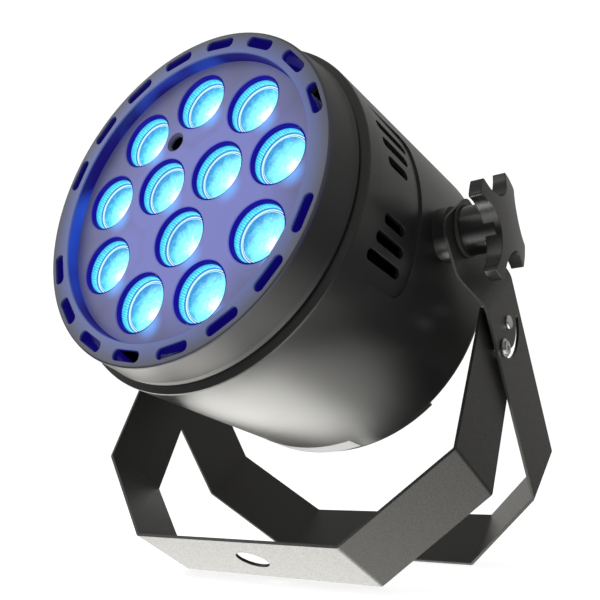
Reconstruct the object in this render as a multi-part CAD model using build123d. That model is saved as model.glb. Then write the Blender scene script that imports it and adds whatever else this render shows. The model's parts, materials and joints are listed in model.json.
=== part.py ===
from build123d import *
import math
import os

# LED par can light on a folding double yoke. Millimetres, +Z up, the lamp
# faces -Y and stands on its two spread yokes. Origin: floor level, midway
# between the outermost points of the object in X and in Y.

os.makedirs("parts", exist_ok=True)

# ---------------------------------------------------------------- sizes
# stand
SHEET = 1.2            # yoke sheet thickness
STRIP = 35.0           # yoke strip width
HINGE_H = 100.363      # height of the axis where the two yokes cross
HINGE_Y = 16.13        # its Y in the row frame
MAIN_LEAN = 34.69      # main yoke, leaning back from vertical
FRONT_LEAN = 27.40     # front bracket, leaning forward from vertical
PIVOT_UP = 40.6        # tilt axis above the hinge, measured up the main arm
BEND = 2.2             # outside bend radius
JOGGLE = 12.0          # bend radius of the joggle below the tilt pivot
# main yoke, half outline: (x of outer face, distance below the hinge)
MAIN_PTS = [(84.8, -51.2), (84.8, -28.5), (92.4, -15.0), (88.9, 73.2), (51.3, 109.95)]
FRONT_PTS = [(89.07, -9.0), (87.2, 66.5), (49.1, 103.97)]
PLATE_HOLE_R = 7.0     # clamp hole in each foot plate
LOCK_R = 12.6          # lock screw from the hinge
SLOT_HALF = 1.9        # half width of the arc slot
FOLD_RANGE = 130.0     # travel of the front bracket
# head, stations are distances behind the front face of the bezel
HEAD_UP = 9.66         # the head looks up by this angle
PIVOT_S = 75.54
RIM_R = 70.0
RIM_IN = 60.6
COLLAR_S, COLLAR_R = 16.65, 72.1
BODY_S0, BODY_R0 = 18.35, 75.0
BODY_S1, BODY_R1 = 115.6, 77.64
WALL = 2.4
PLATE_S = 5.26         # front face of the lens plate
PLATE_T = 2.0
LENS_HOLE_R = 12.4
OUTER_PCR, OUTER_A0 = 44.2, 50.0
INNER_PCR, INNER_A0 = 16.8, 30.0
BOARD_S = 21.6         # front face of the LED board
BACK_S = 124.5         # outer face of the rear cover
BACK_R = 76.3
# knobs
KNOB_R = 23.2
KNOB_TIP_X = 101.2
KNOB_TOP_X = 103.2
KNOB_BACK_X = 96.4     # rear face of the lobes
STUD_R = 4.0
RUN = 0.05             # radial running clearance
GAP = 0.3              # clearance between parts that move past each other
BOSS_X = 81.3

rad = math.radians
PIV_Y = HINGE_Y - PIVOT_UP * math.sin(rad(MAIN_LEAN))
PIV_Z = HINGE_H + PIVOT_UP * math.cos(rad(MAIN_LEAN))

HEAD = Pos(0, PIV_Y, PIV_Z) * Rot(-HEAD_UP, 0, 0)
MAIN = Pos(0, HINGE_Y, HINGE_H) * Rot(MAIN_LEAN, 0, 0)
FRONT = Pos(0, HINGE_Y, HINGE_H) * Rot(-FRONT_LEAN, 0, 0)
PIVOT = Pos(0, PIV_Y, PIV_Z) * Rot(MAIN_LEAN, 0, 0)


# -------------------------------------------------------------- helpers
def one(shape):
    """A plain solid or compound from the result of an operation."""
    s = shape.solids()
    return s[0] if len(s) == 1 else Compound(list(s))


def save(name, shape, where=None):
    s = shape if where is None else where * shape
    export_step(one(s), f"parts/{name}.step")
    return s


def rev(pts, arc=360.0, start=0.0):
    """Turns an (r, s) outline about the lamp's axis."""
    f = make_face(Polyline(*[(r, s - PIVOT_S) for r, s in pts], close=True))
    if start:
        f = Rot(0, start, 0) * f
    return revolve(f, axis=Axis.Y, revolution_arc=arc)


def cy(r, s0, s1, x=0.0, z=0.0):
    """Cylinder along the lamp's axis between two stations."""
    return Pos(x, (s0 + s1) / 2 - PIVOT_S, z) * Rot(90, 0, 0) * Cylinder(r, abs(s1 - s0))


def cx(r, x0, x1, y=0.0, z=0.0):
    """Cylinder along X."""
    return Pos((x0 + x1) / 2, y, z) * Rot(0, 90, 0) * Cylinder(r, abs(x1 - x0))


def cz(r, z0, z1, x=0.0, s=0.0):
    """Upright cylinder in the head."""
    return Pos(x, s - PIVOT_S, (z0 + z1) / 2) * Cylinder(r, abs(z1 - z0))


def bx(x0, x1, s0, s1, z0, z1):
    """Box in the head, by its limits."""
    return Pos((x0 + x1) / 2, (s0 + s1) / 2 - PIVOT_S, (z0 + z1) / 2) * Box(
        abs(x1 - x0), abs(s1 - s0), abs(z1 - z0))


def at(radius, angle):
    return radius * math.cos(rad(angle)), radius * math.sin(rad(angle))


def body_r(s):
    return BODY_R0 + (BODY_R1 - BODY_R0) * (s - BODY_S0) / (BODY_S1 - BODY_S0)


def plate_prism(sketch, s0, s1):
    """Extrudes a sketch drawn in (x, z) between two stations."""
    # the plane's normal is -Y, so the sketch's x is X and its y is Z
    pl = Plane(origin=(0, s1 - PIVOT_S, 0), x_dir=(1, 0, 0), z_dir=(0, -1, 0))
    return extrude(pl * sketch, amount=s1 - s0)


def side_prism(sketch, x0, x1):
    """Extrudes a sketch drawn in (y, z) from x0 to x1."""
    pl = Plane(origin=(x0, 0, 0), x_dir=(0, 1, 0), z_dir=(1, 0, 0))
    return extrude(pl * sketch, amount=x1 - x0)


def mirror_x(shape):
    return mirror(shape, about=Plane.YZ)


LENS_AT = [at(OUTER_PCR, OUTER_A0 + 40 * k) for k in range(9)] + [
    at(INNER_PCR, INNER_A0 + 120 * k) for k in range(3)]

# ================================================================ yokes


def strip(points, bends={}):
    """Bent sheet strip from the outer half outline, mirrored about X = 0."""
    outer = points + [(-x, l) for x, l in reversed(points)]
    n = len(outer)
    inner = []
    for i, (x, l) in enumerate(outer):
        seg = []
        for a, b in ((i - 1, i), (i, i + 1)):
            if a < 0 or b >= n:
                continue
            dx, dl = outer[b][0] - outer[a][0], outer[b][1] - outer[a][1]
            q = math.hypot(dx, dl)
            # the outside of the strip is on the left when walking down
            seg.append((-dl / q, dx / q))
        if len(seg) == 1:
            nx, nl = seg[0]
            if i == 0 or i == n - 1:
                # square end, cut level
                inner.append((x + SHEET * nx / abs(nx) * 1.0, l))
            continue
        (ax, al), (bx_, bl) = seg
        mx, ml = ax + bx_, al + bl
        k = 2.0 / (mx * mx + ml * ml)
        inner.append((x + SHEET * mx * k, l + SHEET * ml * k))
    pts = outer + inner[::-1]
    radii, inner_radii = [], []
    for i in range(n):
        if i in (0, n - 1):
            radii.append(0.0)
            inner_radii.append(0.0)
            continue
        a, b, c = outer[i - 1], outer[i], outer[i + 1]
        cross = (b[0] - a[0]) * (c[1] - b[1]) - (b[1] - a[1]) * (c[0] - b[0])
        q = bends.get(min(i, n - 1 - i), BEND)
        radii.append(q if cross > 0 else q - SHEET)
        inner_radii.append(q - SHEET if cross > 0 else q)
    wire = FilletPolyline(*[(x, -l) for x, l in pts], radius=radii + inner_radii[::-1], close=True)
    pl = Plane(origin=(0, STRIP / 2, 0), x_dir=(1, 0, 0), z_dir=(0, -1, 0))
    return extrude(pl * make_face(wire), amount=STRIP)


def arc_slot(radius, half, a0, a1):
    """Arc slot in (y, z) about the hinge. Angles from straight down, + to -Y."""
    def p(r, a):
        return (-r * math.sin(rad(a)), -r * math.cos(rad(a)))
    am = (a0 + a1) / 2
    e0 = p(radius, a0)
    e1 = p(radius, a1)
    outer = ThreePointArc(p(radius + half, a0), p(radius + half, am), p(radius + half, a1))
    inner = ThreePointArc(p(radius - half, a1), p(radius - half, am), p(radius - half, a0))
    d1 = (-math.cos(rad(a1)), math.sin(rad(a1)))
    d0 = (-math.cos(rad(a0)), math.sin(rad(a0)))
    cap1 = ThreePointArc(p(radius + half, a1), (e1[0] + half * d1[0], e1[1] + half * d1[1]), p(radius - half, a1))
    cap0 = ThreePointArc(p(radius - half, a0), (e0[0] - half * d0[0], e0[1] - half * d0[1]), p(radius + half, a0))
    return make_face([outer, cap1, inner, cap0])


REST_ANGLE = MAIN_LEAN + FRONT_LEAN      # front bracket ahead of the main yoke

# --- main yoke: carries the head, its foot plate is the rear one
main = strip(MAIN_PTS, {1: JOGGLE, 2: JOGGLE})
half = STRIP / 2
top = MAIN_PTS[0][1]
# outline of the arm seen from the side: rounded top corners
mask = make_face(FilletPolyline((-half, -130), (half, -130), (half, -top), (-half, -top),
                                radius=[0, 0, 8.0, 8.0], close=True))
main = main & side_prism(mask, -120, 120)
main -= cx(STUD_R + RUN, -120, 120, 0, PIVOT_UP)
main -= cx(2.0, -120, 120)
main -= Pos(0, 0, -MAIN_PTS[-1][1]) * Cylinder(PLATE_HOLE_R, 20)
slot = arc_slot(LOCK_R, SLOT_HALF, REST_ANGLE - FOLD_RANGE - 3.0, REST_ANGLE + 3.0)
for x0 in (80.0, -100.0):
    main -= side_prism(slot, x0, x0 + 20)
save("main_yoke", main, MAIN)

# --- front bracket: folds on the main yoke's arms
fr = strip(FRONT_PTS)
tip = 9.0
# the rear side is cut back so that it stays clear of the arc slot
mask = make_face(Polyline((-half, -120), (half, -120), (half, -24.0), (tip + 0.2, -10.0), (tip, 0),
                          (-tip, 0), (-half, -5.0), close=True))
mask = mask + Circle(tip)
fr = fr & side_prism(mask, -120, 120)
fr -= cx(2.0 + RUN, -120, 120)
fr -= cx(1.55, -120, 120, 0, -LOCK_R)
fr -= Pos(0, 0, -FRONT_PTS[-1][1]) * Cylinder(PLATE_HOLE_R, 20)
save("front_bracket", fr, FRONT)

# --- hinge rivets (fixed to the main yoke), heads outside, tails inside
xo = 91.96                                # outer face of the main arm at the hinge
xi = xo - SHEET
fo = 88.85                                # outer face of the front arm there
fi = fo - SHEET


def rivet():
    head = cx(2.9, xo, xo + 1.3)
    head = fillet(head.edges().filter_by(GeomType.CIRCLE).sort_by(Axis.X)[-1], 0.9)
    tail = cx(3.6, fi - GAP - 1.5, fi - GAP)
    return head + cx(2.0, fi - GAP - 0.5, xo + 0.2) + tail


rv = rivet()
save("hinge_rivets", Compound([one(rv), one(mirror_x(rv))]), MAIN)
sp = cx(5.0, fo + GAP + 0.12, 90.38) - cx(2.0, 80, 100)
save("hinge_spacers", Compound([one(sp), one(mirror_x(sp))]), MAIN)

# --- lock screws (fixed to the front bracket) through the main yoke's slot
lo = 91.80                                # furthest out the main arm's face comes along the slot
lw = lo + GAP + 0.6                       # outer face of the washer
scr = cx(1.5, 84.6, lw + 0.1, 0, -LOCK_R) + cx(2.7, lw, lw + 0.9, 0, -LOCK_R)
scr -= side_prism(Pos(0, -LOCK_R) * RegularPolygon(1.45, 6), lw + 0.15, lw + 3)
wsh = cx(3.7, lo + GAP, lw, 0, -LOCK_R) - cx(1.5, 80, 100, 0, -LOCK_R)
nut = side_prism(Pos(0, -LOCK_R) * RegularPolygon(3.3, 6), 84.9, 87.25) - cx(1.5, 80, 100, 0, -LOCK_R)
save("lock_screws", Compound([one(scr), one(mirror_x(scr))]), FRONT)
save("lock_washers", Compound([one(wsh), one(mirror_x(wsh))]), FRONT)
save("lock_nuts", Compound([one(nut), one(mirror_x(nut))]), FRONT)

# ================================================================ knobs
# four lobes; the scallop behind is shallow, the one in front is deep
SCALLOPS = ((23.0 + 180.0, 23.9, 14.6), (23.0 + 90.0, 24.0, 13.4), (23.0, 26.6, 13.0), (23.0 - 90.0, 24.0, 13.2))
lobes = Circle(KNOB_R)
core = Circle(KNOB_R - 1.9)
for ang, dist, r in SCALLOPS:
    px, py = at(dist, ang)
    lobes -= Pos(px, py) * Circle(r)
    core -= Pos(px, py) * Circle(r + 1.9)
cap_r = (KNOB_R ** 2 + (KNOB_TOP_X - KNOB_TIP_X) ** 2) / (2 * (KNOB_TOP_X - KNOB_TIP_X))
blank = side_prism(lobes, KNOB_BACK_X, KNOB_TOP_X + 1)
blank = fillet(blank.edges().filter_by(Axis.X), 0.9)
blank = blank & (Pos(KNOB_TOP_X - cap_r, 0, 0) * Sphere(cap_r))
blank -= side_prism(core, KNOB_BACK_X - 1, 100.2)
blank += cx(9.8, 86.6, 100.6)
blank -= cx(STUD_R, 80, 97.5)
wash = cx(10.5, 85.1, 86.6) - cx(STUD_R, 80, 90)
stud = cx(STUD_R, 67.0, 97.5)
stud = chamfer(stud.edges().filter_by(GeomType.CIRCLE).sort_by(Axis.X)[0], 0.8)
# the knobs' lobes stand square to the row frame, not to the leaning arm
KN = Pos(0, PIV_Y, PIV_Z)
for side in ("right", "left"):
    for name, shp in (("knob", blank), ("knob_washer", wash), ("knob_stud", stud)):
        save(f"{name}_{side}", shp if side == "right" else mirror_x(shp), KN)

# ================================================================ bezel
bez = rev([(RIM_IN, 0.35), (RIM_IN + 0.35, 0), (RIM_R - 0.7, 0), (RIM_R - 0.15, 0.35), (RIM_R + 0.1, 0.9),
           (71.6, 13.6), (COLLAR_R, 15.3), (71.9, 16.1), (71.2, COLLAR_S),
           (69.0, COLLAR_S), (69.0, 21.3), (66.6, 21.3), (66.6, 14.5), (69.7, 13.2), (68.5, 2.6), (62.3, 2.6),
           (62.3, 8.7), (57.4, 8.7), (57.4, PLATE_S + PLATE_T), (RIM_IN, PLATE_S + PLATE_T)])
for k in list(range(1, 9)) + list(range(10, 18)):
    sl = Rot(0, 0, 20 * k) * Pos(65.45, 0) * RectangleRounded(4.5, 14.4, 2.1)
    bez -= plate_prism(sl, -1, 3)
for a in (0, 180):
    x, z = at(65.0, a)
    bez += cy(2.5, 2.0, 23.2, x, z)
    bez -= cy(1.3, 12.0, 24.0, x, z)
save("front_bezel", bez, HEAD)

# ================================================================ shell
shell = rev([(69.1, 16.95), (71.6, 16.95), (74.75, 18.0), (BODY_R0, BODY_S0 + 0.25), (BODY_R1, BODY_S1),
             (BODY_R1 - WALL, BODY_S1), (BODY_R0 - WALL, 21.2), (69.1, 21.2)])
ins = rev([(0.01, 21.2), (BODY_R0 - WALL + 0.3, 21.2), (BODY_R1 - WALL + 0.3, BODY_S1), (0.01, BODY_S1)])


def rear_boss(a, r0=66.8):
    x, z = at(r0, a)
    b = cy(3.9, 98.0, BODY_S1 - 2.2, x, z)
    web = Rot(0, -a, 0) * bx(r0, 75.5, 98.0, BODY_S1 - 2.2, -1.6, 1.6)
    return b + web


def front_boss(a, r0=67.2):
    x, z = at(r0, a)
    b = cy(3.9, 27.3, 38.0, x, z)
    web = Rot(0, -a, 0) * bx(r0, 74.6, 27.3, 38.0, -1.6, 1.6)
    return b + web


REAR_ANGLES = (45, 135, 225, 315)
FRONT_ANGLES = (50, 130, 230, 310)
extra = None
for a in REAR_ANGLES:
    extra = rear_boss(a) if extra is None else extra + rear_boss(a)
for a in FRONT_ANGLES:
    extra += front_boss(a)
# posts under the power supply board and above the driver board
PSU_Z, DRV_Z = -34.0, 26.0
POSTS = [(x, s) for x in (-36.0, 36.0) for s in (62.0, 102.0)]
for x, s in POSTS:
    extra += cz(3.4, -74, PSU_Z, x, s)
    extra += cz(3.4, DRV_Z + 1.6, 74, x, s)
shell += extra & ins
for sx in (1, -1):
    shell += cx(11.0, 72.0 * sx, BOSS_X * sx)
    shell += cx(8.4, 64.5 * sx, 76.0 * sx)
for a in REAR_ANGLES:
    x, z = at(66.8, a)
    shell -= cy(1.3, 100, 120, x, z)
for a in FRONT_ANGLES:
    x, z = at(67.2, a)
    shell -= cy(1.3, 20, 36, x, z)
for x, s in POSTS:
    shell -= cz(1.1, PSU_Z - 8, PSU_Z + 2, x, s)
    shell -= cz(1.1, DRV_Z, DRV_Z + 10, x, s)
# recessed vent panel on each side, with three slots above and three below
panel = make_face(FilletPolyline((20 - PIVOT_S, -34.3), (56.3 - PIVOT_S, -34.3), (56.3 - PIVOT_S, 34.3),
                                 (20 - PIVOT_S, 34.3), radius=[0, 5.5, 5.5, 0], close=True))
ring = cy(82, 20, 56.3) - cy(75.2, 10, 70)
for x0 in (40.0, -90.0):
    shell -= ring & side_prism(panel, x0, x0 + 50)
VENTS = ((9.0, 31.6, 46.6), (14.8, 29.2, 48.9), (20.5, 27.5, 50.8))
for a, s0, s1 in VENTS:
    for sg in (1, -1):
        for base in (0, 180):
            sl = SlotOverall(s1 - s0, 4.3)
            pl = Plane(origin=(66, (s0 + s1) / 2 - PIVOT_S, 0), x_dir=(0, 1, 0), z_dir=(1, 0, 0))
            shell -= Rot(0, -(base + sg * a), 0) * extrude(pl * sl, amount=14)
for sx in (1, -1):
    shell -= cx(6.0, 64.0 * sx, 90.0 * sx)
save("body_shell", shell, HEAD)

# brass inserts that the knob studs screw into
ins_r = cx(6.0, 64.6, BOSS_X - 0.1) - cx(STUD_R + RUN, 60, 90)
save("tilt_inserts", Compound([one(ins_r), one(mirror_x(ins_r))]), HEAD)
w_r = cx(10.6, BOSS_X, 83.3) - cx(STUD_R + RUN, 60, 90)
save("friction_washers", Compound([one(w_r), one(mirror_x(w_r))]), HEAD)

# blank rating label on the underside of the shell at its rear edge
ls0, ls1 = 105.4, 115.2
lab = rev([(body_r(ls0), ls0), (body_r(ls0) + 0.15, ls0), (body_r(ls1) + 0.15, ls1), (body_r(ls1), ls1)],
          arc=34.0)
# the outline starts at +X; turned about Y so that it spans -75 to -109 degrees
la = lab.center()
ang = math.degrees(math.atan2(la.Z, la.X))
lab = Rot(0, ang + 92.0, 0) * lab
save("rating_label", lab, HEAD)

# ============================================================ lens group
plate = cy(RIM_IN - 0.3, PLATE_S, PLATE_S + PLATE_T)
for x, z in LENS_AT:
    plate -= cy(LENS_HOLE_R, 0, 12, x, z)
    plate -= Pos(x, PLATE_S - PIVOT_S + 0.2, z) * Rot(90, 0, 0) * Cone(LENS_HOLE_R, LENS_HOLE_R + 0.45, 0.45)
ix, iz = at(29.95, 110.9)
plate -= cy(3.2, 0, 12, ix, iz)
plate -= Pos(ix, PLATE_S - PIVOT_S + 0.45, iz) * Rot(90, 0, 0) * Cone(3.2, 4.4, 1.0)
save("lens_plate", plate, HEAD)

holder = rev([(12.1, 6.0), (12.1, 21.6), (10.6, 21.6), (10.6, 15.0), (9.9, 12.6), (11.05, 12.6), (11.05, 10.4),
              (11.65, 6.0)])
lens = rev([(0, 9.9), (3.5, 9.95), (7.0, 10.15), (9.6, 10.45), (10.3, 10.6), (11.0, 10.6), (11.0, 12.5), (9.9, 12.5),
            (8.2, 16.2), (5.6, 19.4), (3.6, 20.5), (2.9, 20.5), (2.9, 17.2), (0, 16.6)])
led = bx(-2.5, 2.5, 20.6, BOARD_S, -2.5, 2.5) + rev([(0, 18.4), (1.2, 18.75), (2.1, 19.8), (2.2, 20.7), (0, 20.7)])
group = {"lens_holders": holder, "lenses": lens, "leds": led}
for name, shp in group.items():
    base = one(shp)
    save(name, Compound([one(Pos(x, 0, z) * base) for x, z in LENS_AT]), HEAD)

board = cy(62.0, BOARD_S, BOARD_S + 1.6)
SINK_SCREWS = [at(58.6, a) for a in (30, 150, 230, 310)]
for x, z in SINK_SCREWS:
    board -= cy(1.7, 20, 26, x, z)
save("led_board", board, HEAD)
ir = cy(2.0, 14.2, BOARD_S, ix, iz) + (Pos(ix, 14.2 - PIVOT_S, iz) * Rot(90, 0, 0) * Sphere(2.0))
ir = ir & cy(2.5, 12.8, BOARD_S, ix, iz)
ir += bx(ix - 2.9, ix + 2.9, 16.0, BOARD_S, iz - 2.4, iz + 2.4)
save("ir_receiver", ir, HEAD)

# ============================================================ heat sink
s0 = BOARD_S + 1.6
sink = cy(62.0, s0, s0 + 4.0)
for a in FRONT_ANGLES:
    ear = Rot(0, -a, 0) * bx(55, 66.5, s0, s0 + 4.0, -4.6, 4.6)
    x, z = at(66.5, a)
    sink += ear + cy(4.6, s0, s0 + 4.0, x, z)
for a in (0, 180):
    sink += Rot(0, -a, 0) * bx(55, 65, s0, s0 + 4.0, -4.2, 4.2)
    x, z = at(65.0, a)
    sink += cy(4.2, s0, s0 + 4.0, x, z)
fins = None
for k in range(-5, 6):
    f = bx(k * 10.6 - 0.9, k * 10.6 + 0.9, s0 + 3.5, 56.0, -60, 60)
    fins = f if fins is None else fins + f
sink += fins & cy(59.0, s0 + 3.5, 56.0)
for a in FRONT_ANGLES:
    x, z = at(67.2, a)
    sink -= cy(1.7, 20, 30, x, z)
for a in (0, 180):
    x, z = at(65.0, a)
    sink -= cy(1.7, 20, 30, x, z)
for x, z in SINK_SCREWS:
    sink -= cy(1.3, 20, 27.0, x, z)
save("heat_sink", sink, HEAD)


def screw(s_head, s_tip, x, z, r=1.25, hr=2.8, hh=1.8, to_rear=False):
    """Pan head screw along the axis; the head lies on the s_head side."""
    sg = 1 if to_rear else -1
    h = cy(hr, s_head, s_head + sg * hh, x, z)
    return h + cy(r, s_head - sg * 0.01, s_tip, x, z) - cy(0.9, s_head + sg * (hh - 0.9), s_head + sg * (hh + 1), x, z)


save("led_board_screws", Compound([one(screw(BOARD_S, 26.5, x, z)) for x, z in SINK_SCREWS]), HEAD)
save("heat_sink_screws", Compound(
    [one(screw(s0, 35.0, *at(67.2, a), hr=2.3)) for a in FRONT_ANGLES]), HEAD)
save("bezel_screws", Compound(
    [one(screw(s0 + 4.0, 13.0, *at(65.0, a), hr=2.8, to_rear=True)) for a in (0, 180)]), HEAD)

# ============================================================ electronics
psu = bx(-42, 42, 56.9, 107.0, PSU_Z, PSU_Z + 1.6)
drv = bx(-42, 42, 56.9, 107.0, DRV_Z, DRV_Z + 1.6)
for x, s in POSTS:
    psu -= cz(1.4, PSU_Z - 1, PSU_Z + 3, x, s)
    drv -= cz(1.4, DRV_Z - 1, DRV_Z + 3, x, s)
save("power_supply_board", psu, HEAD)
save("driver_board", drv, HEAD)


def post_screw(x, s, z, up):
    sg = 1 if up else -1
    return cz(2.6, z, z + sg * 1.6, x, s) + cz(1.05, z + sg * 0.01, z - sg * 8.5, x, s)


save("board_screws", Compound([one(post_screw(x, s, PSU_Z + 1.6, True)) for x, s in POSTS] +
                              [one(post_screw(x, s, DRV_Z, False)) for x, s in POSTS]), HEAD)
zt = PSU_Z + 1.6
core_t = bx(-13, 13, 72, 94, zt + 3, zt + 22) - bx(-9, 9, 70, 96, zt + 7, zt + 18)
core_t += bx(-3.5, 3.5, 72, 94, zt + 6.5, zt + 18.5)
core_t += bx(-8.9, -3.7, 76, 90, zt + 7.1, zt + 17.9) + bx(3.7, 8.9, 76, 90, zt + 7.1, zt + 17.9)
core_t += bx(-12, 12, 73, 93, zt, zt + 3.2)
save("transformer", core_t, HEAD)
caps = [one(fillet(cz(6.0, zt, zt + 24, x, s).edges().filter_by(GeomType.CIRCLE).sort_by(Axis.Z)[-1], 0.8))
        for x, s in ((-28, 74), (-28, 90), (27, 96))]
save("capacitors", Compound(caps), HEAD)
ind = []
for x in (-27, -9, 9, 27):
    c = cz(5.0, DRV_Z - 8.0, DRV_Z, x, 68)
    ind.append(one(c - (cz(7, DRV_Z - 6.4, DRV_Z - 1.6, x, 68) - cz(3.8, DRV_Z - 9, DRV_Z + 1, x, 68))))
save("driver_inductors", Compound(ind), HEAD)
chips = [one(bx(x - 4, x + 4, s - 3, s + 3, DRV_Z - 2.0, DRV_Z)) for x in (-27, -9, 9, 27) for s in (82,)]
chips.append(one(bx(-7, 7, 91, 105, DRV_Z - 1.8, DRV_Z)))
save("driver_chips", Compound(chips), HEAD)

# ============================================================ rear cover
BI = BACK_S - 2.5                       # inner face of the cover
low = make_face(Polyline((0, 0), at(120, -48), (120, -140), (-120, -140), at(120, -132), close=True))


def rounded(shape, radius):
    """Rounds the outer rear edge."""
    edge = [e for e in shape.edges().filter_by(GeomType.CIRCLE)
            if abs(e.radius - BACK_R) < 0.01 and abs(e.arc_center.Y - (BACK_S - PIVOT_S)) < 0.01]
    return fillet(edge, radius)


cov = rounded(rev([(0, BACK_S), (BACK_R, BACK_S), (BACK_R, BODY_S1), (73.8, BODY_S1), (73.8, 118.0),
                   (70.0, BI), (0, BI)]), 7.0)
blk = rounded(rev([(66, BI), (71.0, BI), (71.0, BODY_S1), (BACK_R, BODY_S1), (BACK_R, BACK_S), (66, BACK_S)]), 3.6)
cov += blk & plate_prism(low, 110, 130)
for a in REAR_ANGLES:
    x, z = at(66.8, a)
    cov += cy(4.4, BODY_S1 - 2.2, BI + 0.5, x, z)
    cov -= cy(1.7, 110, 130, x, z)
    cov -= cy(3.2, BACK_S - 1.0, BACK_S + 2, x, z)
# window and button holes in the upper half, socket plate in the lower half
WIN_Z, BTN_Z = 32.0, 14.0
BTN_X = (-21.0, -7.0, 7.0, 21.0)
cov -= bx(-20, 20, 110, 130, WIN_Z - 7.5, WIN_Z + 7.5)
cov -= bx(-21.5, 21.5, BACK_S - 1.4, BACK_S + 2, WIN_Z - 9, WIN_Z + 9)
for x in BTN_X:
    cov -= cy(3.5, 110, 130, x, BTN_Z)
cov -= bx(-46, 46, BACK_S - 1.0, 130, -43, -3)
cut = bx(-44.5, 44.5, 110, 130, -41.5, -4.5)
for x in (-44, 44):
    for z in (-40.5, -5.5):
        cut -= bx(x - 4, x + 4, 100, 140, z - 4.2, z + 4.2)
        cov += bx(x - 3.8, x + 1.8, BI - 2.5, BI + 0.5, z - 3.4, z + 3.4)
cov -= cut
for x in (-42.9, 42.9):
    for z in (-39.2, -6.8):
        cov -= cy(1.3, 110, 130, x, z)
# posts that carry the control board
CB = [(-28.0, 38.0), (28.0, 38.0), (-28.0, 12.0), (28.0, 12.0)]
CB_S = 112.0
for x, z in CB:
    cov += cy(2.6, CB_S + 1.6, BI + 0.5, x, z)
    cov -= cy(0.9, CB_S, CB_S + 8, x, z)
# pad for the safety eye
cov += bx(-9, 9, BI + 0.5, BACK_S, 50, 62)
for x in (-5.5, 5.5):
    cov -= cy(1.3, 118, 130, x, 56)
save("rear_cover", cov, HEAD)
save("rear_cover_screws", Compound(
    [one(screw(BACK_S - 1.0, 103.0, *at(66.8, a), to_rear=True, hr=2.9)) for a in REAR_ANGLES]), HEAD)

save("display_window", bx(-21.3, 21.3, BACK_S - 1.4, BACK_S, WIN_Z - 8.8, WIN_Z + 8.8), HEAD)
save("display_module", bx(-15.0, 15.0, CB_S + 1.6, BACK_S - 2.0, WIN_Z - 6.5, WIN_Z + 6.5), HEAD)
cb = bx(-33, 33, CB_S, CB_S + 1.6, 7.5, 42.5)
for x, z in CB:
    cb -= cy(1.1, 110, 115, x, z)
save("control_board", cb, HEAD)
save("control_board_screws", Compound([one(screw(CB_S, CB_S + 6.5, x, z, r=0.85, hr=2.0, hh=1.3)) for x, z in CB]), HEAD)
sw = [one(bx(x - 3, x + 3, CB_S + 1.6, CB_S + 5.2, BTN_Z - 3, BTN_Z + 3) + cy(1.7, CB_S + 5.0, 118.6, x, BTN_Z))
      for x in BTN_X]
save("tact_switches", Compound(sw), HEAD)
for name, x in zip(("button_menu", "button_down", "button_up", "button_enter"), BTN_X):
    b = cy(3.2, 120.0, BACK_S + 1.4, x, BTN_Z)
    b = fillet(b.edges().filter_by(GeomType.CIRCLE).sort_by(Axis.Y)[-1], 0.6)
    b += cy(4.3, 119.9, 121.6, x, BTN_Z)
    save(name, b, HEAD)

# socket plate
sp0, sp1 = BACK_S - 1.0, BACK_S + 0.2
DMX = {"dmx_in": -28.0, "dmx_out": 28.0}
SOCK_Z, INLET_Z, FUSE_Z = -20.5, -28.7, -10.5
pl = plate_prism(Pos(0, -23) * RectangleRounded(91.4, 39.4, 3.0), sp0, sp1)
for x in DMX.values():
    pl -= cy(11.0, 110, 130, x, SOCK_Z)
pl -= bx(-13.7, 13.7, 110, 130, INLET_Z - 10.2, INLET_Z + 10.2)
pl -= cy(5.3, 110, 130, 0, FUSE_Z)
PS = [(-42.9, -39.2), (42.9, -39.2), (-42.9, -6.8), (42.9, -6.8)]
DS = [(x + dx, SOCK_Z + dz) for x in DMX.values() for dx, dz in ((-9.4, 12.0), (9.4, -12.0))]
for x, z in PS + DS:
    pl -= cy(1.3, 110, 130, x, z)
save("socket_plate", pl, HEAD)
save("socket_plate_screws", Compound(
    [one(screw(sp1, BACK_S - 4.5, x, z, r=1.25, hr=2.4, hh=1.3, to_rear=True)) for x, z in PS]), HEAD)
fl0, fl1 = sp1, sp1 + 2.2
save("dmx_socket_screws", Compound(
    [one(screw(fl1, BACK_S - 4.5, x, z, r=1.25, hr=2.1, hh=1.1, to_rear=True)) for x, z in DS]), HEAD)
flange = Pos(0, 0) * RectangleRounded(24.0, 29.0, 2.5)
for name, x in DMX.items():
    f = plate_prism(Pos(x, SOCK_Z) * flange, fl0, fl1) + cy(10.9, 106.0, fl0 + 0.5, x, SOCK_Z)
    if name == "dmx_in":
        f -= cy(9.2, 112.0, 130, x, SOCK_Z)
    else:
        f -= cy(9.3, 113.0, 130, x, SOCK_Z) - cy(7.6, 112, fl1 - 0.6, x, SOCK_Z)
        for a in (90, 210, 330):
            px, pz = at(4.75, a)
            f -= cy(1.35, 114.0, 130, x + px, SOCK_Z + pz)
    for xx, zz in DS:
        f -= cy(1.3, 110, 130, xx, zz)
    save(f"{name}_socket", f, HEAD)
# the pins stand on the socket's floor
save("dmx_in_pins", Compound([one(cy(1.2, 112.0, 121.2, DMX["dmx_in"] + at(4.75, a)[0],
                                     SOCK_Z + at(4.75, a)[1])) for a in (90, 210, 330)]), HEAD)
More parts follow.
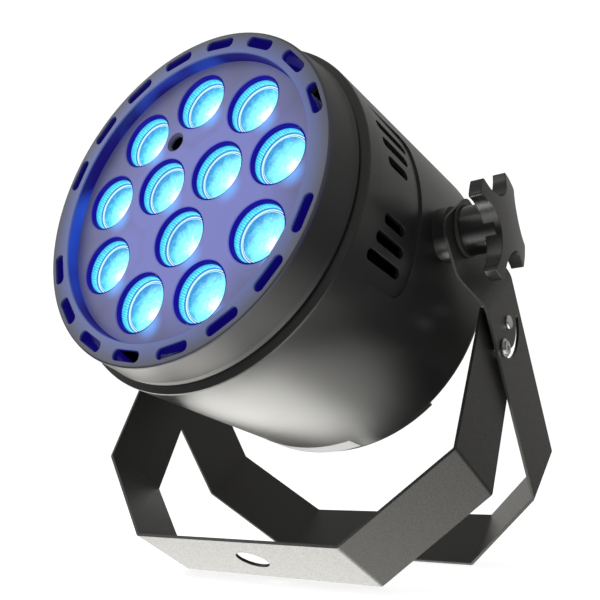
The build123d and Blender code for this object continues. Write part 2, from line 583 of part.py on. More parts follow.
# three-pole appliance inlet: body 27 x 20, cavity 24.6 x 16.8, blades 14 apart with the earth 4 higher
inlet = plate_prism(Pos(0, INLET_Z) * RectangleRounded(30.6, 23.0, 2.5), fl0, fl1)
inlet += bx(-13.5, 13.5, 108.2, fl0 + 0.5, INLET_Z - 10.0, INLET_Z + 10.0)
cav = Pos(0, INLET_Z) * make_face(Polyline((-12.3, -8.4), (12.3, -8.4), (12.3, 3.4), (7.3, 8.4), (-7.3, 8.4),
                                           (-12.3, 3.4), close=True))
inlet -= plate_prism(cav, 110.5, 130)
save("power_inlet", inlet, HEAD)
bl = [one(bx(x - 1.0, x + 1.0, 110.5, 121.0, INLET_Z + dz - 2.0, INLET_Z + dz + 2.0))
      for x, dz in ((-7.0, -2.0), (0.0, 2.0), (7.0, -2.0))]
save("power_inlet_pins", Compound(bl), HEAD)
fuse = cy(5.2, 108.0, fl0, 0, FUSE_Z) + cy(6.0, fl0, fl0 + 1.6, 0, FUSE_Z) + cy(4.6, fl0 + 1.5, fl0 + 4.2, 0, FUSE_Z)
fuse -= bx(-3.4, 3.4, fl0 + 3.2, fl0 + 6, FUSE_Z - 0.6, FUSE_Z + 0.6)
save("fuse_holder", fuse, HEAD)

# safety eye: an angle tab with a hole for the safety cable
eye = bx(-9, 9, BACK_S, BACK_S + 1.5, 50, 62)
tab = side_prism(make_face(FilletPolyline((BACK_S + 0.5 - PIVOT_S, 50), (BACK_S + 14 - PIVOT_S, 50),
                                          (BACK_S + 14 - PIVOT_S, 62), (BACK_S + 0.5 - PIVOT_S, 62),
                                          radius=[0, 5.0, 5.0, 0], close=True)), -0.75, 0.75)
eye = eye + tab - cx(3.6, -5, 5, BACK_S + 8.2 - PIVOT_S, 56)
for x in (-5.5, 5.5):
    eye -= cy(1.5, 118, 130, x, 56)
save("safety_eye", eye, HEAD)
save("safety_eye_screws", Compound(
    [one(screw(BACK_S + 1.5, BI + 0.8, x, 56, hr=2.6, hh=1.5, to_rear=True)) for x in (-5.5, 5.5)]), HEAD)

print("pivot", round(PIV_Y, 3), round(PIV_Z, 3), "hinge", HINGE_Y, HINGE_H)
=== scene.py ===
import json
import math

import bpy
from mathutils import Matrix, Vector


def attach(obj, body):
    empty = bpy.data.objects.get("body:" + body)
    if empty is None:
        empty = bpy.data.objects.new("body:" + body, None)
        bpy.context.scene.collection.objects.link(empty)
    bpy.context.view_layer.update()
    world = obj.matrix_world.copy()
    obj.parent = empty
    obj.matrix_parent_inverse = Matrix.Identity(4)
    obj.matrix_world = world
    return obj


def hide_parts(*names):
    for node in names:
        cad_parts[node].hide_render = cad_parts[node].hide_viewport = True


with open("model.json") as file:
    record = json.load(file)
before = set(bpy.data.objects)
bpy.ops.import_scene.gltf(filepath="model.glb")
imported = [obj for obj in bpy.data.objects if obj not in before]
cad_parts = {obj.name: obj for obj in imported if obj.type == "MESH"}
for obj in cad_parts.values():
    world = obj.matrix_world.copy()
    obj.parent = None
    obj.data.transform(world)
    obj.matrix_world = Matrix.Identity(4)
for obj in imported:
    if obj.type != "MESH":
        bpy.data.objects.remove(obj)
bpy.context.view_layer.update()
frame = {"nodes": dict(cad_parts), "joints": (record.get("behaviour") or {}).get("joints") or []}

scene = bpy.context.scene
scene.view_settings.view_transform = "Standard"
NODES = frame["nodes"]
JOINTS = {j["name"]: j for j in frame["joints"]}
PIVOT = Vector(JOINTS["head_tilt"]["pos_m"])
HINGE = Vector(JOINTS["front_bracket_fold"]["pos_m"])
HEAD_UP = math.radians(9.66)
PIVOT_S = 75.54
HEAD = Matrix.Translation(PIVOT) @ Matrix.Rotation(-HEAD_UP, 4, "X")


def at(radius, angle):
    return radius * math.cos(math.radians(angle)), radius * math.sin(math.radians(angle))


LENS_AT = [at(44.2, 50 + 40 * k) for k in range(9)] + [at(16.8, 30 + 120 * k) for k in range(3)]


def head_point(x, s, z):
    """Millimetres in the head, s behind the bezel's face, to metres in the row frame."""
    return HEAD @ (Vector((x, s - PIVOT_S, z)) / 1000)


# ------------------------------------------------------------ camera
cam_data = bpy.data.cameras.new("camera")
cam = bpy.data.objects.new("camera", cam_data)
scene.collection.objects.link(cam)
scene.camera = cam
psi = math.radians(-0.2205)
back = Vector((0.55787, -0.80010, -0.22047)).normalized()
right = Vector((0.82029, 0.57195, 0.0)).normalized()
up = back.cross(right)
right2 = math.cos(psi) * right + math.sin(psi) * up
up2 = -math.sin(psi) * right + math.cos(psi) * up
m = Matrix.Identity(4)
for i, v in enumerate((right2, up2, back)):
    for k in range(3):
        m[k][i] = v[k]
m.translation = HINGE + Vector((0.194694, -0.293824, -0.058202))
cam.matrix_world = m
cam_data.sensor_width = 36.0
cam_data.lens = 45.396
cam_data.clip_start = 0.01
cam_data.clip_end = 60.0


# ------------------------------------------------------------ node helper
class Mat:
    """Small helper for building node materials."""

    def __init__(self, name, rough=0.5, base=(0.5, 0.5, 0.5), metallic=0.0, spec=0.5):
        self.mat = bpy.data.materials.new(name)
        self.mat.use_nodes = True
        self.nt = self.mat.node_tree
        self.nt.nodes.clear()
        out = self.nt.nodes.new("ShaderNodeOutputMaterial")
        self.bsdf = self.nt.nodes.new("ShaderNodeBsdfPrincipled")
        self.nt.links.new(self.bsdf.outputs[0], out.inputs["Surface"])
        self.set("Base Color", (*base, 1.0))
        self.set("Roughness", rough)
        self.set("Metallic", metallic)
        self.set("Specular IOR Level", spec)
        self.mat.diffuse_color = (*base, 1.0)
        self._obj = None

    def new(self, kind, **kw):
        n = self.nt.nodes.new(kind)
        for k, v in kw.items():
            setattr(n, k, v)
        return n

    def put(self, socket, value):
        if isinstance(value, bpy.types.NodeSocket):
            self.nt.links.new(value, socket)
        elif value is not None:
            socket.default_value = value

    def set(self, name, value):
        self.put(self.bsdf.inputs[name], value)

    @property
    def obj(self):
        if self._obj is None:
            self._obj = self.new("ShaderNodeTexCoord").outputs["Object"]
        return self._obj

    def math(self, op, a, b=None, c=None, clamp=False):
        n = self.new("ShaderNodeMath", operation=op, use_clamp=clamp)
        self.put(n.inputs[0], a)
        if b is not None:
            self.put(n.inputs[1], b)
        if c is not None:
            self.put(n.inputs[2], c)
        return n.outputs[0]

    def vec(self, op, a, b=None, scale=None):
        n = self.new("ShaderNodeVectorMath", operation=op)
        self.put(n.inputs[0], a)
        if b is not None:
            self.put(n.inputs[1], b)
        if scale is not None:
            self.put(n.inputs["Scale"], scale)
        return n.outputs["Value"] if op in ("LENGTH", "DISTANCE", "DOT_PRODUCT") else n.outputs["Vector"]

    def noise(self, scale, detail=2.0, rough=0.5, vector=None, stretch=None):
        v = vector if vector is not None else self.obj
        if stretch is not None:
            v = self.vec("MULTIPLY", v, stretch)
        n = self.new("ShaderNodeTexNoise")
        self.put(n.inputs["Vector"], v)
        n.inputs["Scale"].default_value = scale
        n.inputs["Detail"].default_value = detail
        n.inputs["Roughness"].default_value = rough
        return n.outputs[0]

    def voronoi(self, scale, vector=None, out="Distance", feature="F1"):
        n = self.new("ShaderNodeTexVoronoi", feature=feature)
        self.put(n.inputs["Vector"], vector if vector is not None else self.obj)
        n.inputs["Scale"].default_value = scale
        return n.outputs[out]

    def range(self, v, a, b, c=0.0, d=1.0, smooth=False):
        n = self.new("ShaderNodeMapRange", clamp=True)
        n.interpolation_type = "SMOOTHSTEP" if smooth else "LINEAR"
        self.put(n.inputs[0], v)
        for i, x in enumerate((a, b, c, d)):
            n.inputs[i + 1].default_value = x
        return n.outputs[0]

    def ramp(self, fac, stops, interpolation="LINEAR"):
        n = self.new("ShaderNodeValToRGB")
        n.color_ramp.interpolation = interpolation
        el = n.color_ramp.elements
        while len(el) > 1:
            el.remove(el[-1])
        el[0].position, el[0].color = stops[0][0], (*stops[0][1], 1.0)
        for pos, col in stops[1:]:
            e = el.new(pos)
            e.color = (*col, 1.0)
        self.put(n.inputs[0], fac)
        return n.outputs[0]

    def mix(self, fac, a, b, mode="MIX"):
        n = self.new("ShaderNodeMix", data_type="RGBA", blend_type=mode)
        n.clamp_factor = True
        self.put(n.inputs[0], fac)
        for s, v in ((n.inputs[6], a), (n.inputs[7], b)):
            self.put(s, (*v, 1.0) if isinstance(v, tuple) and len(v) == 3 else v)
        return n.outputs[2]

    def bump(self, height, distance, strength=1.0, normal=None):
        n = self.new("ShaderNodeBump")
        n.inputs["Strength"].default_value = strength
        n.inputs["Distance"].default_value = distance
        self.put(n.inputs["Height"], height)
        if normal is not None:
            self.put(n.inputs["Normal"], normal)
        return n.outputs[0]

    def bevel(self, radius, samples=4):
        n = self.new("ShaderNodeBevel", samples=samples)
        n.inputs["Radius"].default_value = radius
        return n.outputs[0]

    def head(self):
        """Separate x, s and z in the head, in metres, s behind the bezel's face."""
        n = self.new("ShaderNodeMapping", vector_type="TEXTURE")
        self.put(n.inputs["Vector"], self.obj)
        n.inputs["Location"].default_value = PIVOT
        n.inputs["Rotation"].default_value = (-HEAD_UP, 0, 0)
        sep = self.new("ShaderNodeSeparateXYZ")
        self.put(sep.inputs[0], n.outputs[0])
        s = self.math("ADD", sep.outputs[1], PIVOT_S / 1000)
        r = self.math("SQRT", self.math("ADD", self.math("MULTIPLY", sep.outputs[0], sep.outputs[0]),
                                        self.math("MULTIPLY", sep.outputs[2], sep.outputs[2])))
        return n.outputs[0], sep.outputs[0], s, sep.outputs[2], r


def moulded(name, base, rough=0.38, grain=2600.0, depth=0.00003, edge=0.00025, spec=0.5, spread=0.25):
    """Moulded plastic with a fine spark-eroded grain, faint handling marks and softened edges."""
    k = Mat(name, rough, base, 0.0, spec)
    grainy = k.noise(grain, 3.0, 0.6)
    cloudy = k.noise(22.0, 4.0, 0.6)
    lo = tuple(c * (1 - spread) for c in base)
    hi = tuple(c * (1 + spread) for c in base)
    k.set("Base Color", k.mix(k.math("MULTIPLY_ADD", grainy, 0.6, k.math("MULTIPLY", cloudy, 0.4)), lo, hi))
    k.set("Roughness", k.math("ADD", rough - 0.05, k.math("MULTIPLY", cloudy, 0.10)))
    k.set("Normal", k.bump(grainy, depth, 0.55, k.bevel(edge) if edge else None))
    return k


def powder(name, base):
    """Powder coat: fine orange peel with tiny lighter specks."""
    k = Mat(name, 0.42, base, 0.0, 0.5)
    peel = k.noise(1500.0, 2.0, 0.45)
    fine = k.noise(5200.0, 2.0, 0.6)
    height = k.math("MULTIPLY_ADD", fine, 0.35, peel)
    speck = k.range(fine, 0.60, 0.72)
    k.set("Base Color", k.mix(speck, k.mix(k.noise(40.0, 3.0), tuple(c * 0.85 for c in base), tuple(c * 1.15 for c in base)),
                              tuple(min(1, c * 3.2) for c in base)))
    k.set("Roughness", k.range(peel, 0.3, 0.7, 0.38, 0.50))
    k.set("Normal", k.bump(height, 0.00009, 0.6, k.bevel(0.00035)))
    return k


def metal(name, base, rough=0.3, stretch=(1.0, 1.0, 1.0), scale=2500.0, edge=0.0002):
    k = Mat(name, rough, base, 1.0, 0.5)
    n = k.noise(scale, 4.0, 0.6, stretch=stretch)
    c = k.noise(160.0, 3.0, 0.5)
    k.set("Base Color", k.mix(c, tuple(x * 0.82 for x in base), base))
    k.set("Roughness", k.range(n, 0.25, 0.75, rough * 0.75, rough * 1.35))
    k.set("Normal", k.bump(n, 0.00002, 0.4, k.bevel(edge) if edge else None))
    return k


# ------------------------------------------------------------ materials
housing = moulded("housing_plastic", (0.012, 0.012, 0.0125), 0.30, 2400.0, 0.000022, 0.00035)
cover = moulded("rear_cover_plastic", (0.013, 0.013, 0.0135), 0.34, 2400.0, 0.00003, 0.00035)
yoke = powder("yoke_powder_coat", (0.0125, 0.012, 0.0108))
plate_steel = powder("socket_plate_coat", (0.022, 0.022, 0.022))
knob_mat = moulded("knob_nylon", (0.006, 0.006, 0.0063), 0.27, 1900.0, 0.00003, 0.0006)
socket_mat = moulded("socket_nylon", (0.013, 0.013, 0.014), 0.33, 3000.0, 0.00002, 0.0002)
button_mat = moulded("button_rubber", (0.075, 0.075, 0.08), 0.62, 3200.0, 0.00003, 0.0003)
washer_mat = moulded("rubber", (0.018, 0.018, 0.018), 0.75, 2600.0, 0.00004, 0.0002)
zinc = metal("zinc_steel", (0.62, 0.62, 0.64), 0.28)
blackox = metal("black_oxide_screw", (0.085, 0.085, 0.09), 0.34)
alu = metal("black_anodised", (0.035, 0.035, 0.037), 0.45, (1.0, 1.0, 0.06), 1500.0, 0.0)
brass = metal("brass_turned", (0.72, 0.55, 0.27), 0.26)

board = Mat("board_green", 0.35, (0.02, 0.12, 0.05))
cell = board.voronoi(420.0)
board.set("Base Color", board.mix(board.range(cell, 0.28, 0.34), (0.03, 0.17, 0.07), (0.015, 0.095, 0.04)))
board.set("Normal", board.bump(cell, 0.00003, 0.4))
white_board = Mat("board_white", 0.45, (0.72, 0.74, 0.74))
white_board.set("Base Color", white_board.mix(white_board.range(white_board.voronoi(260.0), 0.3, 0.36), (0.74, 0.76, 0.76), (0.52, 0.56, 0.60)))
ferrite = moulded("ferrite", (0.045, 0.045, 0.05), 0.6, 2500.0, 0.00006, 0.0)
chip = moulded("chip_epoxy", (0.02, 0.02, 0.022), 0.5, 5000.0, 0.00002, 0.0)
sleeve = moulded("capacitor_sleeve", (0.03, 0.045, 0.14), 0.3, 1800.0, 0.00001, 0.0)
display_grey = moulded("display_module", (0.16, 0.16, 0.17), 0.4, 3000.0, 0.00001, 0.0)

window = Mat("display_window", 0.08, (0.016, 0.010, 0.012), 0.0, 0.55)
window.set("Base Color", window.mix(window.noise(30.0, 3.0), (0.012, 0.008, 0.010), (0.024, 0.014, 0.016)))
window.set("Roughness", window.range(window.noise(900.0, 4.0), 0.3, 0.8, 0.05, 0.16))

label = Mat("label_film", 0.42, (0.80, 0.81, 0.80))
lv, lx, ls, lz, lr = label.head()
edge_x = label.math("ABSOLUTE", label.math("ADD", lx, 0.0027))
inner = label.math("MULTIPLY", label.range(edge_x, 0.0213, 0.0211), label.math("MULTIPLY", label.range(ls, 0.1062, 0.1064), label.range(ls, 0.1144, 0.1142)))
label.set("Base Color", label.mix(label.noise(90.0, 3.0), (0.74, 0.75, 0.75), (0.84, 0.85, 0.84)))
label.set("Normal", label.bump(label.math("ADD", label.math("MULTIPLY", inner, 0.5), label.noise(2600.0, 2.0)), 0.00002, 0.5))

# bezel: satin black ring, its hollow side and recess wall lit blue by the lamps
bezel = Mat("bezel_plastic", 0.42, (0.03, 0.03, 0.032))
bv, bx_, bs, bz, br = bezel.head()
grainy = bezel.noise(2600.0, 3.0, 0.6)
bezel.set("Normal", bezel.bump(grainy, 0.00003, 0.5, bezel.bevel(0.0003)))
bezel.set("Roughness", bezel.range(bezel.noise(25.0, 3.0), 0.3, 0.7, 0.36, 0.46))
hollow = bezel.math("MULTIPLY", bezel.range(bs, 0.0006, 0.0011), bezel.range(br, 0.0702, 0.0699))
wall = bezel.math("MULTIPLY", bezel.range(br, 0.0610, 0.0607), bezel.range(bs, 0.0002, 0.0008))
# painted shade: the hollow side and the recess wall get a near-black base colour that stands in for the shade falling
# in them
painted_recess_shade = bezel.math("ADD", hollow, wall, clamp=True)
# painted highlight: the front face of the ring gets a lighter base colour than the sides, standing in for the key
# light's sheen on it
painted_sheen_mask = bezel.range(bs, 0.0012, 0.0006)
skin_with_painted_sheen = bezel.mix(painted_sheen_mask, bezel.mix(grainy, (0.009, 0.009, 0.010), (0.014, 0.014, 0.015)), bezel.mix(grainy, (0.026, 0.026, 0.029), (0.042, 0.042, 0.046)))
bezel.set("Base Color", bezel.mix(painted_recess_shade, skin_with_painted_sheen, (0.004, 0.004, 0.010)))
# streaks of stray light on the recess wall, strongest at the upper left
sweep = bezel.math("MULTIPLY", bezel.range(bezel.noise(38.0, 1.0, 0.4), 0.42, 0.66), bezel.range(bezel.math("SUBTRACT", bz, bx_), 0.0, 0.07))
near = bezel.range(br, 0.0700, 0.0600)
ring_glow = bezel.math("MULTIPLY", near, bezel.range(bs, 0.0012, 0.0006))
glow = bezel.mix(ring_glow, (0.0, 0.0, 0.0), (0.045, 0.080, 0.300))
glow = bezel.mix(hollow, glow, (0.003, 0.001, 0.10))
glow = bezel.mix(wall, glow, bezel.mix(sweep, (0.004, 0.001, 0.13), (0.02, 0.10, 0.75)))
bezel.set("Emission Color", glow)
bezel.set("Emission Strength", 1.0)

# lens plate: matt dark plastic washed with blue light from the lamps
plate = Mat("lens_plate_plastic", 0.5, (0.06, 0.06, 0.07))
pv, px, ps, pz, pr = plate.head()
pgrain = plate.noise(2800.0, 3.0, 0.6)
plate.set("Normal", plate.bump(pgrain, 0.00003, 0.5, plate.bevel(0.0002)))
flat = plate.new("ShaderNodeCombineXYZ")
plate.put(flat.inputs[0], px)
plate.put(flat.inputs[1], pz)
near_lens, near_hot = None, None
for cx, cz in LENS_AT:
    d = plate.vec("DISTANCE", flat.outputs[0], (cx / 1000, cz / 1000, 0.0))
    h = plate.vec("DISTANCE", flat.outputs[0], ((cx + 7.6) / 1000, (cz - 9.6) / 1000, 0.0))
    near_lens = d if near_lens is None else plate.math("MINIMUM", near_lens, d)
    near_hot = h if near_hot is None else plate.math("MINIMUM", near_hot, h)
wash = plate.range(near_lens, 0.0125, 0.026, 1.0, 0.0, smooth=True)
centre = plate.range(pr, 0.060, 0.020, 0.35, 1.0, smooth=True)
side = plate.range(plate.math("SUBTRACT", px, pz), -0.05, 0.05, 0.75, 1.15)
amount = plate.math("MULTIPLY", plate.math("MULTIPLY", centre, side), plate.math("MULTIPLY_ADD", wash, 0.55, 0.75))
spill = plate.range(near_hot, 0.0075, 0.0, 0.0, 1.0, smooth=True)
glow = plate.mix(amount, (0.0, 0.0, 0.0), (0.090, 0.105, 0.42))
glow = plate.mix(spill, glow, (0.09, 0.36, 1.0))
# painted shade: the hole walls around the lenses get a near-black base colour for the shade inside the holes
wall = plate.range(near_lens, 0.01255, 0.01245)
plate.set("Base Color", plate.mix(wall, plate.mix(pgrain, (0.050, 0.050, 0.058), (0.078, 0.078, 0.088)), (0.004, 0.004, 0.012)))
glow = plate.mix(wall, glow, (0.006, 0.003, 0.30))
# painted shade: the painted blue glow is dimmed to a faint blue inside the IR hole and to near black on surfaces behind
# the plate's front face
ir = plate.vec("DISTANCE", flat.outputs[0], (at(29.95, 110.9)[0] / 1000, at(29.95, 110.9)[1] / 1000, 0.0))
glow = plate.mix(plate.range(ir, 0.0044, 0.0042), glow, (0.002, 0.001, 0.05))
behind = plate.range(ps, 0.0066, 0.0070)
glow = plate.mix(behind, glow, (0.0005, 0.0005, 0.006))
plate.set("Emission Color", glow)
plate.set("Emission Strength", 1.0)

# lens cups: clear fluted wall glowing cyan
cup = Mat("lens_cup_fluted", 0.18, (0.10, 0.22, 0.30), 0.0, 0.5)
attr = cup.new("ShaderNodeAttribute", attribute_name="spot")
sep = cup.new("ShaderNodeSeparateXYZ")
cup.put(sep.inputs[0], attr.outputs["Vector"])
depth, flute = sep.outputs[2], cup.noise(900.0, 2.0)
streak = cup.ramp(depth, [(0.0, (0.006, 0.003, 0.30)), (0.28, (0.006, 0.003, 0.30)), (0.34, (0.05, 0.55, 0.98)),
                          (0.62, (0.10, 0.82, 1.0)), (0.86, (0.20, 0.92, 1.0)), (0.93, (0.01, 0.12, 0.55)), (1.0, (0.05, 0.40, 0.9))])
shade = cup.new("ShaderNodeAttribute", attribute_name="shade")
light = cup.math("MULTIPLY", cup.range(shade.outputs["Fac"], 0.0, 1.0, 0.55, 1.25), cup.range(flute, 0.3, 0.7, 0.8, 1.15))
light = cup.math("MULTIPLY", light, cup.range(depth, -0.9, -0.5))
cup.set("Emission Color", cup.mix(1.0, streak, cup.vec("SCALE", (1.0, 1.0, 1.0), scale=light), "MULTIPLY"))
cup.set("Emission Strength", 1.0)
cup.set("Specular IOR Level", cup.range(depth, 0.28, 0.34, 0.04, 0.5))
# painted shade: the front lip in the gap at the plate's hole and the outer skin get a near-black base colour for the
# shade there
cup.set("Base Color", cup.mix(cup.range(depth, 0.33, 0.28), cup.mix(flute, (0.01, 0.05, 0.08), (0.03, 0.12, 0.16)), (0.004, 0.004, 0.012)))

# lens faces: pebbled acrylic, brightest where the LED shows through it
lens = Mat("lens_pebbled", 0.16, (0.12, 0.30, 0.36), 0.0, 0.5)
attr = lens.new("ShaderNodeAttribute", attribute_name="spot")
uv = attr.outputs["Vector"]
sep = lens.new("ShaderNodeSeparateXYZ")
lens.put(sep.inputs[0], uv)
pebble = lens.voronoi(1.35, uv, "Color")
sepc = lens.new("ShaderNodeSeparateColor")
lens.put(sepc.inputs[0], pebble)
dist = lens.voronoi(1.35, uv, "Distance")
cloud = lens.noise(0.42, 3.0, 0.6, uv)
r_hot = lens.vec("LENGTH", lens.vec("SUBTRACT", uv, (4.4, -3.8, 0.0)))
t = lens.math("ADD", r_hot, lens.math("MULTIPLY", lens.math("SUBTRACT", sepc.outputs[0], 0.5), 1.5))
t = lens.math("ADD", t, lens.math("MULTIPLY", lens.math("SUBTRACT", cloud, 0.5), 9.0))
t = lens.math("ADD", t, lens.math("MULTIPLY", dist, 0.9))
face = lens.ramp(lens.math("DIVIDE", t, 17.0),
                 [(0.0, (1.0, 0.92, 1.0)), (0.17, (0.88, 0.96, 1.0)), (0.30, (0.32, 1.0, 1.0)), (0.48, (0.15, 0.92, 0.98)),
                  (0.64, (0.10, 0.66, 0.92)), (0.82, (0.05, 0.30, 0.68)), (1.0, (0.02, 0.14, 0.5))])
rim = lens.vec("LENGTH", uv)
lip = lens.ramp(lens.range(rim, 9.6, 11.4), [(0.0, (0.0, 0.05, 0.35)), (0.055, (0.0, 0.05, 0.35)), (0.083, (0.60, 1.0, 1.0)), (0.22, (0.60, 1.0, 1.0)),
                                            (0.278, (0.0, 0.04, 0.28)), (0.417, (0.0, 0.04, 0.28)), (0.456, (0.70, 1.0, 1.0)), (0.60, (0.70, 1.0, 1.0)),
                                            (0.656, (0.0, 0.04, 0.28)), (0.778, (0.01, 0.10, 0.5)), (0.86, (0.08, 0.50, 1.0)), (1.0, (0.10, 0.58, 1.0))])
face = lens.mix(lens.range(rim, 9.58, 9.66), face, lip)
lens.set("Emission Color", face)
lens.set("Emission Strength", 1.0)
lens.set("Base Color", lens.mix(sepc.outputs[1], (0.015, 0.05, 0.07), (0.03, 0.09, 0.12)))
led_mat = Mat("led_package", 0.3, (0.75, 0.85, 0.9))
led_mat.set("Base Color", led_mat.mix(led_mat.noise(900.0), (0.7, 0.8, 0.85), (0.9, 0.9, 0.8)))
led_mat.set("Emission Color", (0.5, 0.85, 1.0, 1.0))
led_mat.set("Emission Strength", 2.0)
ir_mat = Mat("ir_receiver", 0.10, (0.012, 0.010, 0.02))
ir_mat.set("Base Color", ir_mat.mix(ir_mat.noise(500.0), (0.010, 0.008, 0.02), (0.025, 0.02, 0.06)))
# painted light: a faint blue glow on the receiver dome stands in for the lamps' light reaching it
ir_mat.set("Emission Color", (0.004, 0.004, 0.06, 1.0))
ir_mat.set("Emission Strength", 1.0)

BY_NODE = {
    "main_yoke": yoke, "front_bracket": yoke, "hinge_rivets": zinc, "hinge_spacers": socket_mat, "lock_screws": zinc,
    "lock_washers": zinc, "lock_nuts": zinc, "knob_left": knob_mat, "knob_right": knob_mat, "knob_stud_left": zinc,
    "knob_stud_right": zinc, "knob_washer_left": washer_mat, "knob_washer_right": washer_mat, "front_bezel": bezel,
    "body_shell": housing, "rear_cover": cover, "lens_plate": plate, "leds": led_mat, "led_board": white_board,
    "ir_receiver": ir_mat, "heat_sink": alu, "led_board_screws": blackox, "heat_sink_screws": zinc, "bezel_screws": zinc,
    "power_supply_board": board, "driver_board": board, "board_screws": zinc, "transformer": ferrite, "capacitors": sleeve,
    "driver_inductors": ferrite, "driver_chips": chip, "rear_cover_screws": blackox, "display_window": window,
    "display_module": display_grey, "control_board": board, "control_board_screws": zinc, "tact_switches": chip,
    "button_menu": button_mat, "button_down": button_mat, "button_up": button_mat, "button_enter": button_mat,
    "socket_plate": plate_steel, "socket_plate_screws": blackox, "dmx_socket_screws": blackox, "dmx_in_socket": socket_mat,
    "dmx_out_socket": socket_mat, "dmx_in_pins": brass, "power_inlet": socket_mat, "power_inlet_pins": zinc,
    "fuse_holder": socket_mat, "safety_eye": zinc, "safety_eye_screws": blackox, "tilt_inserts": brass,
    "friction_washers": washer_mat, "rating_label": label, "lenses": lens, "lens_holders": cup,
}
for name, ob in NODES.items():
    ob.data.materials.clear()
    ob.data.materials.append(BY_NODE[name].mat)


# ------------------------------------------------------------ mesh helper
def piece(name, verts, faces, mat, body, smooth=True, spots=None, shades=None, matrix=None):
    me = bpy.data.meshes.new(name)
    me.from_pydata(verts, [], faces)
    if matrix is not None:
        me.transform(matrix)
    me.update()
    if spots is not None:
        a = me.attributes.new("spot", "FLOAT_VECTOR", "POINT")
        a.data.foreach_set("vector", [c for v in spots for c in v])
    if shades is not None:
        a = me.attributes.new("shade", "FLOAT", "POINT")
        a.data.foreach_set("value", shades)
    me.polygons.foreach_set("use_smooth", [smooth] * len(me.polygons))
    ob = bpy.data.objects.new(name, me)
    scene.collection.objects.link(ob)
    me.materials.append(mat.mat)
    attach(ob, body)
    return ob


# ------------------------------------------------------------ lens cups
# inner profile of a cup: (radius, station), flute depth grows in the bright part
FLUTES, PER = 64, 4
OUTER = 3               # the first rings are the dark outer skin
PROFILE = [(11.6, 20.5, 0.0), (12.08, 20.5, 0.0), (12.08, 9.0, 0.0), (12.08, 6.15, 0.0), (11.95, 6.0, 0.0), (11.75, 6.0, 0.0), (11.62, 6.12, 0.0), (11.52, 7.1, 0.0), (11.40, 7.5, 0.16),
           (11.34, 8.4, 0.2), (11.26, 9.4, 0.2), (11.20, 9.95, 0.1), (11.12, 10.25, 0.0), (11.05, 10.7, 0.0), (11.05, 12.4, 0.0)]
verts, faces, spots, shades = [], [], [], []
n = FLUTES * PER
for cx, cz in LENS_AT:
    base = len(verts)
    for i, (r, s, f) in enumerate(PROFILE):
        for j in range(n):
            a = 2 * math.pi * j / n
            w = 0.5 - 0.5 * math.cos(2 * math.pi * (j % PER) / PER)
            rr = r - f * w
            verts.append(((cx + rr * math.cos(a)) / 1000, (s - PIVOT_S) / 1000, (cz + rr * math.sin(a)) / 1000))
            spots.append((r * math.cos(a), r * math.sin(a), -1.0 if i < OUTER else max(0.0, min(1.0, (s - 6.0) / 4.4))))
            shades.append(w if f > 0 else 0.6)
    for i in range(len(PROFILE) - 1):
        for j in range(n):
            k = (j + 1) % n
            faces.append((base + i * n + j, base + i * n + k, base + (i + 1) * n + k, base + (i + 1) * n + j))
cups = piece("lens_cups", verts, faces, cup, "head", True, spots, shades, HEAD)
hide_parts("lens_holders")


# ------------------------------------------------------------ lens faces
def pebble_height(u, v):
    """Height of close-packed round pebbles, 0.82 mm apart."""
    p = 0.82
    q = p * math.sqrt(3) / 2
    row = round(v / q)
    best = 9.0
    for rw in (row - 1, row, row + 1):
        off = 0.5 * p if rw % 2 else 0.0
        col = round((u - off) / p)
        d = math.hypot(u - off - col * p, v - rw * q)
        best = min(best, d)
    return max(0.0, 1.0 - (best / (0.5 * p)) ** 2)


def lens_mesh():
    vs, fs = [], []
    rings = [i * 0.2 for i in range(1, 51)]
    seg = 138
    vs.append((0.0, 0.0, 9.9 - 0.06 * pebble_height(0, 0)))
    for r in rings:
        for j in range(seg):
            a = 2 * math.pi * j / seg
            u, v = r * math.cos(a), r * math.sin(a)
            dome = 9.9 + 0.6 * (r / 10.0) ** 2
            amp = 0.085 if r < 9.7 else 0.0
            vs.append((u, v, dome - amp * pebble_height(u, v)))
    prof = [(10.12, 10.52), (10.25, 10.72), (10.40, 10.72), (10.52, 10.45), (10.62, 10.32), (10.78, 10.30), (10.88, 10.42), (10.95, 10.62),
            (11.0, 10.8), (11.0, 12.4)]
    for r, s in prof:
        for j in range(seg):
            a = 2 * math.pi * j / seg
            vs.append((r * math.cos(a), r * math.sin(a), s))
    for j in range(seg):
        fs.append((0, 1 + (j + 1) % seg, 1 + j))
    for i in range(len(rings) + len(prof) - 1):
        for j in range(seg):
            k = (j + 1) % seg
            fs.append((1 + i * seg + j, 1 + i * seg + k, 1 + (i + 1) * seg + k, 1 + (i + 1) * seg + j))
    return vs, fs


vs, fs = lens_mesh()
verts, faces, spots = [], [], []
for i, (cx, cz) in enumerate(LENS_AT):
    base = len(verts)
    turn = math.radians(37.0 * i)
    for u, v, s in vs:
        uu, vv = u * math.cos(turn) - v * math.sin(turn), u * math.sin(turn) + v * math.cos(turn)
        verts.append(((cx + uu) / 1000, (s - PIVOT_S) / 1000, (cz + vv) / 1000))
        spots.append((uu, vv, 0.15 * i))
    faces += [tuple(base + q for q in f) for f in fs]
lens_faces = piece("lens_faces", verts, faces, lens, "head", True, spots, None, HEAD)
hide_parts("lenses")

# ------------------------------------------------------------ stage and light
floor_mat = Mat("floor", 0.6, (0.86, 0.86, 0.86))
floor_mat.set("Base Color", floor_mat.mix(floor_mat.noise(3.0, 2.0), (0.85, 0.85, 0.85), (0.88, 0.88, 0.88)))
floor_mat.set("Specular IOR Level", 0.2)
floor_mat.set("Emission Color", (1.0, 1.0, 1.0, 1.0))
floor_mat.set("Emission Strength", 0.80)
n = 96
me = bpy.data.meshes.new("floor")
me.from_pydata([(8 * math.cos(2 * math.pi * j / n), 8 * math.sin(2 * math.pi * j / n), -0.0003) for j in range(n)], [], [tuple(range(n))])
floor = bpy.data.objects.new("floor", me)
me.materials.append(floor_mat.mat)
scene.collection.objects.link(floor)
floor.visible_glossy = False


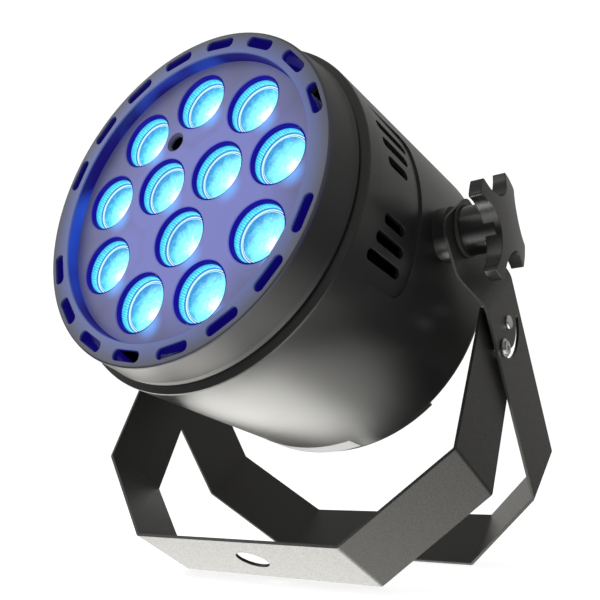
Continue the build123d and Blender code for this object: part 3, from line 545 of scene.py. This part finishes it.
def area(name, place, target, size, radiance, colour=(1, 1, 1), spread=180.0, camera=False):
    d = bpy.data.lights.new(name, "AREA")
    d.shape = "RECTANGLE"
    d.size, d.size_y = size
    d.energy = radiance * math.pi * size[0] * size[1]
    d.color = colour
    d.spread = math.radians(spread)
    o = bpy.data.objects.new(name, d)
    o.location = place
    o.rotation_mode = "QUATERNION"
    o.rotation_quaternion = (Vector(target) - Vector(place)).to_track_quat("-Z", "Y")
    scene.collection.objects.link(o)
    o.visible_camera = camera
    return o


middle = Vector((0.0, 0.0, 0.11))
front = Vector((-0.558, -0.683, 0.473))
area("key_front", middle + front * 1.1, middle, (0.9, 0.9), 1.9)
world = bpy.data.worlds.new("studio")
scene.world = world
world.use_nodes = True
nt = world.node_tree
nt.nodes.clear()
out = nt.nodes.new("ShaderNodeOutputWorld")
mixs = nt.nodes.new("ShaderNodeMixShader")
path = nt.nodes.new("ShaderNodeLightPath")
seen = nt.nodes.new("ShaderNodeBackground")
seen.inputs[0].default_value = (1, 1, 1, 1)
seen.inputs[1].default_value = 1.05
soft = nt.nodes.new("ShaderNodeBackground")
tex = nt.nodes.new("ShaderNodeTexCoord")
sepw = nt.nodes.new("ShaderNodeSeparateXYZ")
ramp = nt.nodes.new("ShaderNodeValToRGB")
# brightness by height, from straight below to straight above
STOPS = [(0.0, 0.75), (0.08, 0.80), (0.17, 0.30), (0.27, 0.018), (0.42, 0.03), (0.5, 0.10), (0.8, 0.11), (1.0, 0.12)]
el = ramp.color_ramp.elements
el[0].position, el[0].color = STOPS[0][0], (STOPS[0][1],) * 3 + (1,)
el[1].position, el[1].color = STOPS[-1][0], (STOPS[-1][1],) * 3 + (1,)
for where, grey in STOPS[1:-1]:
    e = el.new(where)
    e.color = (grey, grey, grey, 1)


def wnode(op, a, b, c=None):
    n = nt.nodes.new("ShaderNodeMath")
    n.operation = op
    for sock, v in zip(n.inputs, (a, b, c)):
        if isinstance(v, bpy.types.NodeSocket):
            nt.links.new(v, sock)
        elif v is not None:
            sock.default_value = v
    return n.outputs[0]


def lobe(axis, start, stop, power):
    """A soft patch of light around one direction."""
    a = Vector(axis).normalized()
    d = nt.nodes.new("ShaderNodeVectorMath")
    d.operation = "DOT_PRODUCT"
    nt.links.new(tex.outputs["Generated"], d.inputs[0])
    d.inputs[1].default_value = a
    r = nt.nodes.new("ShaderNodeMapRange")
    r.interpolation_type = "SMOOTHSTEP"
    nt.links.new(d.outputs["Value"], r.inputs["Value"])
    r.inputs["From Min"].default_value, r.inputs["From Max"].default_value = start, stop
    return wnode("MULTIPLY", r.outputs[0], power)


nt.links.new(tex.outputs["Generated"], sepw.inputs[0])
nt.links.new(wnode("MULTIPLY_ADD", sepw.outputs[2], 0.5, 0.5), ramp.inputs[0])
soft.inputs[0].default_value = (1.0, 0.99, 0.94, 1)
below = lobe((-0.56, 0.43, -0.71), 0.80, 0.97, 4.6)
behind_ = lobe((-0.56, 0.80, 0.15), 0.93, 0.99, 0.8)
nt.links.new(wnode("ADD", wnode("MULTIPLY_ADD", ramp.outputs[0], 4.0, below), behind_), soft.inputs[1])
diff = nt.nodes.new("ShaderNodeBackground")
diff.inputs[0].default_value = (1, 1, 1, 1)
diff.inputs[1].default_value = 0.30
mixd = nt.nodes.new("ShaderNodeMixShader")
nt.links.new(path.outputs["Is Diffuse Ray"], mixd.inputs[0])
nt.links.new(soft.outputs[0], mixd.inputs[1])
nt.links.new(diff.outputs[0], mixd.inputs[2])
nt.links.new(path.outputs["Is Camera Ray"], mixs.inputs[0])
nt.links.new(mixd.outputs[0], mixs.inputs[1])
nt.links.new(seen.outputs[0], mixs.inputs[2])
nt.links.new(mixs.outputs[0], out.inputs[0])
